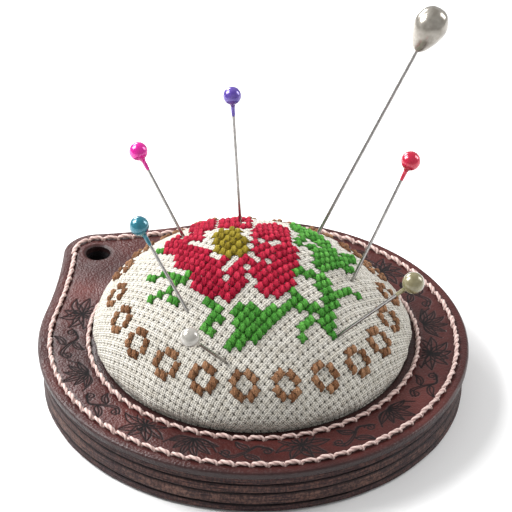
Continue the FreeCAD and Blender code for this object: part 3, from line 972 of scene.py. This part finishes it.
def stretched_offsets():
    """Where the coarse mesh's points end up, along their normals, after pressure inside the cover.

    The cover is taut, so the pressure moves it by a tenth of a millimetre at most.
    """
    _, across, up = dome_grid(sim_first, sim_rings, sim_sides)
    rest, normals = dome_frame(across, up)
    start = rest + normals * (stuffing_lumps(across, up) - set_in)[..., None]
    faces = loop_quads(sim_rings, sim_sides)[:, ::-1].tolist()
    faces.append(list(range(sim_sides))[::-1])
    cover = mesh_object("cover_simulation", start.reshape(-1, 3), faces)
    held = cover.vertex_groups.new(name="held")
    held.add(list(range((sim_rings - 2) * sim_sides, sim_rings * sim_sides)), 1.0, "REPLACE")
    cloth = cover.modifiers.new("Cloth", "CLOTH")
    cloth.settings.vertex_group_mass = "held"
    cloth.settings.use_pressure = True
    cloth.settings.uniform_pressure_force = 100
    cloth.settings.mass = 0.001
    cloth.settings.effector_weights.gravity = 0
    cloth.settings.tension_stiffness = 40
    cloth.settings.bending_stiffness = 2
    scene = bpy.context.scene
    for step in range(1, sim_steps + 1):
        scene.frame_set(step)
    shown = cover.evaluated_get(bpy.context.evaluated_depsgraph_get())
    result = np.empty(len(shown.data.vertices) * 3)
    shown.data.vertices.foreach_get("co", result)
    result = result.reshape(sim_rings, sim_sides, 3) / MM
    bpy.data.objects.remove(cover)
    scene.frame_set(1)
    moved = np.sum((result - rest) * normals, axis=-1)
    return np.clip(moved, -tight_cap, tight_cap)


offsets = stretched_offsets()


def sampled_offsets(across, up):
    """The coarse mesh's result at any place on the fabric."""
    share = np.hypot(across, up) / rim_distance
    ring = np.clip((share - sim_first) / (1 - sim_first), 0, 1) * (sim_rings - 1.001)
    side = (np.arctan2(up, across) / TAU % 1) * sim_sides
    low_ring, low_side = ring.astype(int), side.astype(int) % sim_sides
    part_ring, part_side = ring - low_ring, side - side.astype(int)
    next_side = (low_side + 1) % sim_sides
    near = offsets[low_ring, low_side] * (1 - part_side) + offsets[low_ring, next_side] * part_side
    far = offsets[low_ring + 1, low_side] * (1 - part_side) + offsets[low_ring + 1, next_side] * part_side
    return near * (1 - part_ring) + far * part_ring


def soft_dome(across, up, lift):
    """Points on the finished fabric's surface, lifted off it, and the plain dome's normals there."""
    points, normals = dome_frame(across, up)
    off = sampled_offsets(across, up) + stuffing_lumps(across, up) * 0.6
    off *= np.clip((rim_distance - np.hypot(across, up)) / 3, 0, 1)
    for entry in entries:
        gap = np.linalg.norm(points - entry, axis=-1)
        off = off - 0.55 * mark(gap, 1.5)
    return points + normals * (off + lift)[..., None], normals


def make_fabric():
    """Evenweave: raised blocks of threads with a sunken hole at each corner of a stitch cell, the holes
    and grooves darkened with painted shade.
    """
    per_cell = 8
    step = stitch_cell / per_cell
    reach = int(rim_distance / step) + 1
    index = np.arange(-reach, reach + 1)
    column, row = np.meshgrid(index, index, indexing="ij")
    across = column * step
    up = row * step + chart_shift * stitch_cell
    inside = np.hypot(across, up) < rim_distance - 0.05
    cell_across = across / stitch_cell
    cell_up = up / stitch_cell - chart_shift
    corner_a = np.abs((cell_across % 1) - 0.5)
    corner_u = np.abs((cell_up % 1) - 0.5)
    corner = np.hypot(corner_a, corner_u) * stitch_cell
    source = np.random.default_rng(12)
    hole = mark(corner, 0.27)
    groove = 0.5 * mark(corner_a * stitch_cell, 0.16) + 0.5 * mark(corner_u * stitch_cell, 0.16)
    tiny = source.normal(0, 0.03, across.shape)
    lift = 0.1 - 0.45 * hole - 0.14 * groove + tiny
    points, _ = soft_dome(across, up, lift)
    numbers = np.full(across.shape, -1)
    numbers[inside] = np.arange(inside.sum())
    quads = np.stack([numbers[:-1, :-1], numbers[1:, :-1], numbers[1:, 1:], numbers[:-1, 1:]], axis=-1)
    quads = quads.reshape(-1, 4)
    quads = quads[(quads >= 0).all(axis=1)]
    values = {
        "across": cell_across[inside],
        "up": cell_up[inside],
        # The hole share is painted shade: full in the holes and faint along the grooves between thread
        # blocks.
        "hole": np.clip(0.85 * hole + 0.12 * groove, 0, 1)[inside],
    }
    piece = mesh_object("fabric_dome", points[inside], quads, values)
    finish_piece(piece, evenweave(), ["fabric_cover"])
    middle = (dome_radii[1:] + dome_radii[:-1]) / 2
    cut_area = float(np.sum(TAU * middle * np.diff(dome_distances))) * MM * MM
    return piece, 2 * math.sqrt(cut_area / math.pi), cut_area


def make_stuffing():
    """Fibre filling: a lumpy closed form just under the fabric, flat on the board."""
    sides = 96
    angle, across, up = dome_grid(0.03, 30, sides)
    lumps = 0.12 * np.sin(1.7 * across) * np.sin(1.5 * up)
    points, _ = soft_dome(across, up, lumps - 1.0)
    base = board_top + 0.05
    foot = circles((30.2, 30.6, 30.4, 29.8, 15), (7.6, 5.5, 3.6, base, base), angle)
    points = np.concatenate([points.reshape(-1, 3), foot])
    piece = mesh_object("stuffing_fibre", points, capped_faces(len(points) // sides, sides))
    fibre = plain_fibre("filling", rgb(205, 200, 190), rgb(240, 238, 232), 1.2, 0.95)
    finish_piece(piece, fibre, ["stuffing"])
    return piece


# Embroidery
def chart_stitches():
    """Every stitch as (thread colour, across, up) in the fabric's flat coordinates."""
    stitches = []
    for row, letters in enumerate(chart):
        for column, letter in enumerate(letters):
            if letter in thread_letters:
                across = (chart_first_column + column) * stitch_cell
                up = (chart_first_row - row) * stitch_cell
                stitches.append((thread_letters[letter], across, up))
    for index in range(wreath_count):
        x, y = polar(wreath_radius, wreath_start + 360 * index / wreath_count)
        for row, letters in enumerate(ring_motif):
            for column, letter in enumerate(letters):
                if letter == "B":
                    across = x + wreath_centre[0] + (column - 1.5) * stitch_cell
                    up = y + wreath_centre[1] + (1.5 - row) * stitch_cell
                    stitches.append(("brown", across, up))
    return stitches


def legs(centres, rise, source, over):
    """One leg of every cross-stitch: a soft flattened bundle that dives into its two holes."""
    length, around = 9, 12
    count = len(centres)
    share = np.linspace(0, 1, length)
    swell = np.sin(math.pi * share) ** 0.6
    half = stitch_cell / 2
    jitter = source.normal(0, 0.05, (count, 2, 2))
    start = centres + np.array([-half, -half * rise]) + jitter[:, 0]
    end = centres + np.array([half, half * rise]) + jitter[:, 1]
    middle = start[:, None, :] + (end - start)[:, None, :] * share[None, :, None]
    size = source.uniform(0.9, 1.1, count)
    base = over * swell[None, :] * size[:, None] - 0.2
    points, normals = soft_dome(middle[..., 0], middle[..., 1], base)
    tangent = np.gradient(points, axis=1)
    tangent /= np.linalg.norm(tangent, axis=-1, keepdims=True)
    side = np.cross(normals, tangent)
    side /= np.linalg.norm(side, axis=-1, keepdims=True)
    top = np.cross(tangent, side)
    turn = np.linspace(-math.pi / 2, 1.5 * math.pi, around, endpoint=False)
    wide = (0.2 + 0.31 * swell)[None, :] * size[:, None]
    high = (0.14 + 0.12 * swell)[None, :] * size[:, None]
    lobes = 1 + 0.07 * np.cos(4 * turn)
    ring = side[:, :, None, :] * (wide[..., None] * np.cos(turn) * lobes)[..., None]
    ring = ring + top[:, :, None, :] * (high[..., None] * np.sin(turn) * lobes)[..., None]
    tone = source.uniform(0.3, 0.7, count)[:, None, None] * np.ones((1, length, around))
    # Painted shade on the ends of each leg, where it dives into the fabric.
    sunk_shade = np.clip(0.75 * (1 - swell) ** 1.5, 0, 1)[None, :, None] * np.ones((count, 1, around))
    around_share = (np.arange(around) / around)[None, None, :] * np.ones((count, length, 1))
    return points[:, :, None, :] + ring, tone, sunk_shade, around_share


def make_embroidery():
    source = np.random.default_rng(5)
    groups = {}
    for colour, across, up in chart_stitches():
        point = dome_frame(np.array(across), np.array(up))[0]
        if np.linalg.norm(entries - point, axis=1).min() > pin_room:
            groups.setdefault(colour, []).append((across, up))
    for colour, centres in groups.items():
        centres = np.array(centres)
        parts = [legs(centres, -1, source, 0.42), legs(centres, 1, source, 0.72)]
        values = {}
        for slot, key in enumerate(("tone", "sunk_shade", "round"), 1):
            values[key] = np.concatenate([part[slot].ravel() for part in parts])
        points, faces = joined(tubes(part[0]) for part in parts)
        piece = mesh_object(colour + "_cross_stitches", points, faces, values)
        finish_piece(piece, threads[colour], [colour + "_stitches"])


# Pins
def lathe(name, profile, centre, axis, sides=56):
    """Turns a profile of (radius, height) about a pin's axis, its height 0 at the head's centre."""
    turn = Vector((0, 0, 1)).rotation_difference(axis).to_matrix()
    angle = np.linspace(0, TAU, sides, endpoint=False)
    points = circles(*zip(*profile), angle) @ np.array(turn).T + np.array(centre)
    return mesh_object(name, points, capped_faces(len(profile), sides))


def ball_profile(radius):
    """A ball, and the lacquer that ran a little way down the shaft."""
    foot = -radius - lacquer_run
    neck = [(shaft_radius + 0.02, foot), (shaft_radius + 0.05, foot + 0.2)]
    for share in (0.3, 0.6, 0.85):
        neck.append((shaft_radius + 0.07 + 0.06 * share**2, foot + lacquer_run * share))
    join = math.asin((shaft_radius + 0.42) / radius)
    ball = []
    for step in range(31):
        angle = join + (math.pi - 0.02 - join) * step / 30
        ball.append((radius * math.sin(angle), -radius * math.cos(angle)))
    return neck + ball


def pear_profile():
    """A drop, widest at height 0, on a short neck."""
    top = pear_length * pear_top_share
    foot = top - pear_length
    radius = pins["drop"][3]
    below = [(0.14, 1), (0.26, 0.96), (0.5, 0.8), (0.84, 0.42)]
    above = [(1, 0), (0.78, 0.62), (0.42, 0.93), (0.12 / radius, 1)]
    knots = [(radius * wide, foot * down) for wide, down in below]
    knots += [(radius * wide, top * up) for wide, up in above]
    line = bend(knots, 8)
    return [(max(r, 0.02), min(max(z, foot), top)) for r, z in line]


def make_pins():
    for name, (_, _, reach, head) in pins.items():
        entry, axis = pin_axis(name)
        profile = pear_profile() if name == "drop" else ball_profile(head)
        piece = lathe(name + "_head_glossy", profile, entry + axis * reach, axis)
        finish_piece(piece, heads[name], [name + "_pin_head"], name + "_pin")
        dress(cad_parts[name + "_pin_shaft"], steel)


# Camera, floor and light; angles in degrees, distances and sizes in metres
camera_azimuth, camera_elevation, camera_distance = -48.5, 35.97, 0.42
camera_roll, camera_pitch, camera_yaw = 0.815, 2.218, 0.071
camera_lens = 144.18
floor_reach, floor_level = 1.5, -0.0003
world_strength = 0.55
lights = [  # name, azimuth, elevation, distance, size, watts
    ("key", -148, 46, 0.45, (0.22, 0.24), 2.7),
    ("fill", 58, 30, 0.55, (0.2, 0.3), 1.5),
    ("sheen", 163, 34, 0.34, (0.14, 0.12), 0.6),
]


def direction(azimuth, elevation):
    """Unit vector from the origin towards that azimuth, 0 being the front, and elevation."""
    a, e = math.radians(azimuth), math.radians(elevation)
    return Vector((math.sin(a) * math.cos(e), -math.cos(a) * math.cos(e), math.sin(e)))


def make_camera():
    roll, pitch, yaw = (math.radians(turn) for turn in (camera_roll, camera_pitch, camera_yaw))
    target = Vector((0, 0, stack_height * MM))
    away = direction(camera_azimuth, camera_elevation)
    side = direction(camera_azimuth + 90, 0)
    up = side.cross(-away)
    right = side * math.cos(roll) + up * math.sin(roll)
    above = up * math.cos(roll) - side * math.sin(roll)
    forward = -away
    forward = (forward * math.cos(pitch) + above * math.sin(pitch)).normalized()
    forward = (forward * math.cos(yaw) + right * math.sin(yaw)).normalized()
    right = forward.cross(above).normalized()
    above = right.cross(forward)
    data = bpy.data.cameras.new("camera")
    data.lens = camera_lens
    data.sensor_width = 36
    data.clip_start = 0.01
    camera = placed("camera", data)
    rotation = Matrix((right, above, -forward)).transposed()
    camera.matrix_world = Matrix.Translation(target + away * camera_distance) @ rotation.to_4x4()
    bpy.context.scene.camera = camera


def make_floor():
    ways = [(-1, -1), (1, -1), (1, 1), (-1, 1)]
    corners = [(x * floor_reach, y * floor_reach, floor_level) for x, y in ways]
    mesh = bpy.data.meshes.new("floor")
    mesh.from_pydata(corners, [], [(0, 1, 2, 3)])
    floor = placed("floor", mesh)
    paper = Surface("pale_floor", Roughness=0.9)
    tones = [(0.3, rgb(246, 246, 246)), (0.7, rgb(250, 250, 250))]
    paper.link(paper.ramp(paper.noise(60, 2), tones), "Base Color")
    floor.data.materials.append(paper.material)


def softbox(name, azimuth, elevation, distance, size, power):
    """A rectangular light that faces the origin."""
    data = bpy.data.lights.new(name, "AREA")
    data.shape = "RECTANGLE"
    data.size, data.size_y = size
    data.energy = power
    place = direction(azimuth, elevation) * distance
    light = placed(name, data)
    light.location = place
    light.rotation_mode = "QUATERNION"
    light.rotation_quaternion = (-place).to_track_quat("-Z", "Y")


def make_light():
    world = bpy.data.worlds.new("studio")
    bpy.context.scene.world = world
    world.use_nodes = True
    background = world.node_tree.nodes["Background"]
    background.inputs["Color"].default_value = (1, 1, 1, 1)
    background.inputs["Strength"].default_value = world_strength
    for light in lights:
        softbox(*light)
    bpy.context.scene.view_settings.view_transform = "Standard"


for seed, layer in enumerate(layers):
    make_layer(seed, *layer)
make_top_leather()
make_seams()
fabric, cut_width, cut_area = make_fabric()
stuffing = make_stuffing()
make_embroidery()
make_pins()
card = plain_fibre("card", rgb(150, 128, 98), rgb(182, 160, 128), 0.8, 0.8)
dress(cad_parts["backing_board"], card)
make_camera()
make_floor()
make_light()
